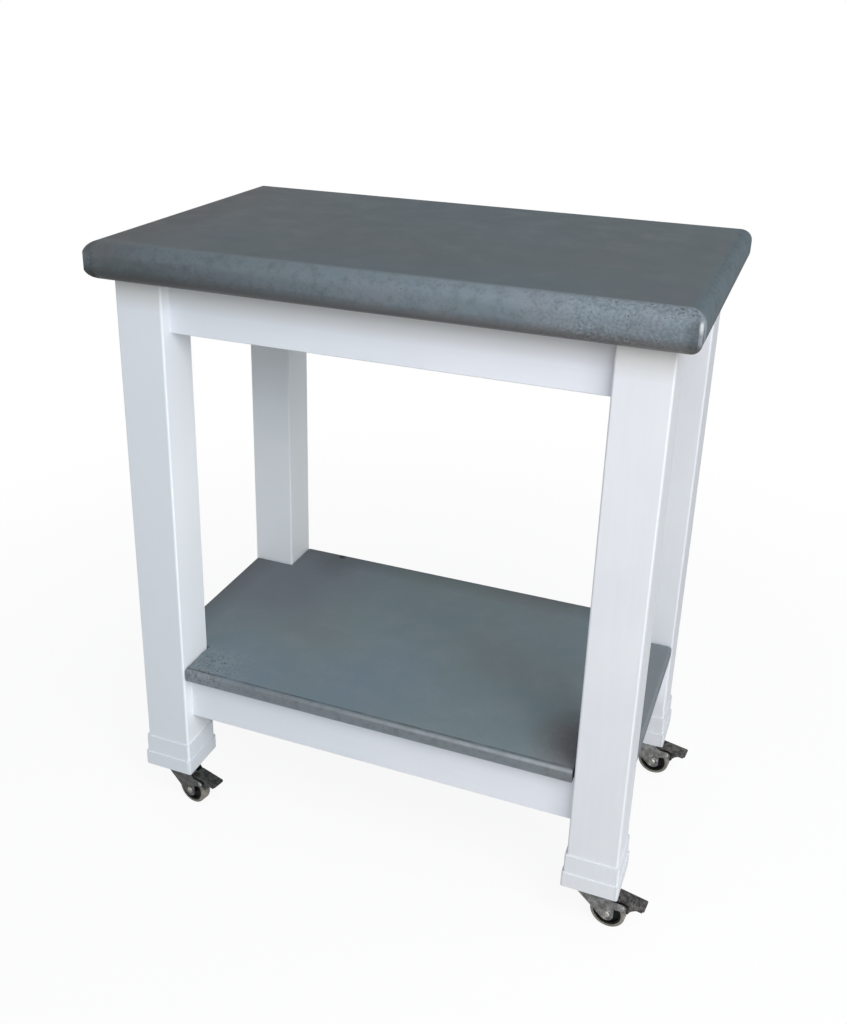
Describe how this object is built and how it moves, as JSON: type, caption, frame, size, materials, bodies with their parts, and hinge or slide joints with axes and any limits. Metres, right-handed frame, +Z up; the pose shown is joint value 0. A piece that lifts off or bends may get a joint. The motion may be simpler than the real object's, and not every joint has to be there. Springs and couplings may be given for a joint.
{
  "type": "kitchen cart",
  "caption": "Wheeled kitchen cart with a round-edged cast slab top, a notched slab shelf and a painted square-leg timber frame on braked swivel castors.",
  "frame": {"origin": "on the floor, under the middle of the cart", "axes": "+Z up, +X along the cart's long side, -Y towards the front as pictured"},
  "size_m": [0.8176, 0.485, 0.9055],
  "materials": {
    "concrete": "satin",
    "white_paint": "satin",
    "bare_timber": "matte",
    "zinc_plate": "satin",
    "steel": "satin",
    "black_metal": "satin",
    "black_plastic": "matte",
    "grey_rubber": "matte"
  },
  "bodies": {
    "frame": {"top_slab": "concrete", "slab_inserts": "steel", "slab_bolts": "zinc_plate", "shelf_slab": "concrete", "leg_front_left": "white_paint", "leg_front_right": "white_paint", "leg_back_left": "white_paint", "leg_back_right": "white_paint", "upper_rail_front": "white_paint", "upper_rail_back": "white_paint", "upper_rail_left": "white_paint", "upper_rail_right": "white_paint", "lower_rail_front": "white_paint", "lower_rail_back": "white_paint", "lower_rail_left": "white_paint", "lower_rail_right": "white_paint", "corner_block_front_left": "bare_timber", "corner_block_front_right": "bare_timber", "corner_block_back_left": "bare_timber", "corner_block_back_right": "bare_timber", "corner_block_screws": "steel", "castor_plate_fl": "zinc_plate", "castor_plate_fr": "zinc_plate", "castor_plate_bl": "zinc_plate", "castor_plate_br": "zinc_plate", "castor_screws": "steel", "kingpins": "steel", "bearing_balls": "steel"},
    "fork_fl": {"fork_fl": "zinc_plate", "axle_fl": "steel", "brake_pin_fl": "steel"},
    "wheel_fl": {"wheel_core_fl": "black_plastic", "tyre_fl": "grey_rubber"},
    "brake_fl": {"brake_lever_fl": "black_metal", "brake_pedal_fl": "black_plastic"},
    "fork_fr": {"fork_fr": "zinc_plate", "axle_fr": "steel", "brake_pin_fr": "steel"},
    "wheel_fr": {"wheel_core_fr": "black_plastic", "tyre_fr": "grey_rubber"},
    "brake_fr": {"brake_lever_fr": "black_metal", "brake_pedal_fr": "black_plastic"},
    "fork_bl": {"fork_bl": "zinc_plate", "axle_bl": "steel", "brake_pin_bl": "steel"},
    "wheel_bl": {"wheel_core_bl": "black_plastic", "tyre_bl": "grey_rubber"},
    "brake_bl": {"brake_lever_bl": "black_metal", "brake_pedal_bl": "black_plastic"},
    "fork_br": {"fork_br": "zinc_plate", "axle_br": "steel", "brake_pin_br": "steel"},
    "wheel_br": {"wheel_core_br": "black_plastic", "tyre_br": "grey_rubber"},
    "brake_br": {"brake_lever_br": "black_metal", "brake_pedal_br": "black_plastic"}
  },
  "joints": [
    {"name": "swivel_fl", "type": "hinge", "parent": "frame", "child": "fork_fl", "pos_m": [-0.332, -0.18, 0.066], "axis": [0, 0, 1], "continuous": true},
    {"name": "wheel_spin_fl", "type": "hinge", "parent": "fork_fl", "child": "wheel_fl", "pos_m": [-0.30755, -0.1852, 0.025], "axis": [0.2079, 0.9781, 0], "continuous": true},
    {"name": "brake_press_fl", "type": "hinge", "parent": "fork_fl", "child": "brake_fl", "pos_m": [-0.28603, -0.18977, 0.0455], "axis": [0.2079, 0.9781, 0], "range_deg": [0, 12]},
    {"name": "swivel_fr", "type": "hinge", "parent": "frame", "child": "fork_fr", "pos_m": [0.332, -0.18, 0.066], "axis": [0, 0, 1], "continuous": true},
    {"name": "wheel_spin_fr", "type": "hinge", "parent": "fork_fr", "child": "wheel_fr", "pos_m": [0.35686, -0.18261, 0.025], "axis": [0.1045, 0.9945, 0], "continuous": true},
    {"name": "brake_press_fr", "type": "hinge", "parent": "fork_fr", "child": "brake_fr", "pos_m": [0.37874, -0.18491, 0.0455], "axis": [0.1045, 0.9945, 0], "range_deg": [0, 12]},
    {"name": "swivel_bl", "type": "hinge", "parent": "frame", "child": "fork_bl", "pos_m": [-0.332, 0.18, 0.066], "axis": [0, 0, 1], "continuous": true},
    {"name": "wheel_spin_bl", "type": "hinge", "parent": "fork_bl", "child": "wheel_bl", "pos_m": [-0.35686, 0.18261, 0.025], "axis": [-0.1045, -0.9945, 0], "continuous": true},
    {"name": "brake_press_bl", "type": "hinge", "parent": "fork_bl", "child": "brake_bl", "pos_m": [-0.37874, 0.18491, 0.0455], "axis": [-0.1045, -0.9945, 0], "range_deg": [0, 12]},
    {"name": "swivel_br", "type": "hinge", "parent": "frame", "child": "fork_br", "pos_m": [0.332, 0.18, 0.066], "axis": [0, 0, 1], "continuous": true},
    {"name": "wheel_spin_br", "type": "hinge", "parent": "fork_br", "child": "wheel_br", "pos_m": [0.35686, 0.17739, 0.025], "axis": [0.1045, 0.9945, 0], "continuous": true},
    {"name": "brake_press_br", "type": "hinge", "parent": "fork_br", "child": "brake_br", "pos_m": [0.37874, 0.17509, 0.0455], "axis": [0.1045, 0.9945, 0], "range_deg": [0, 12]}
  ]
}
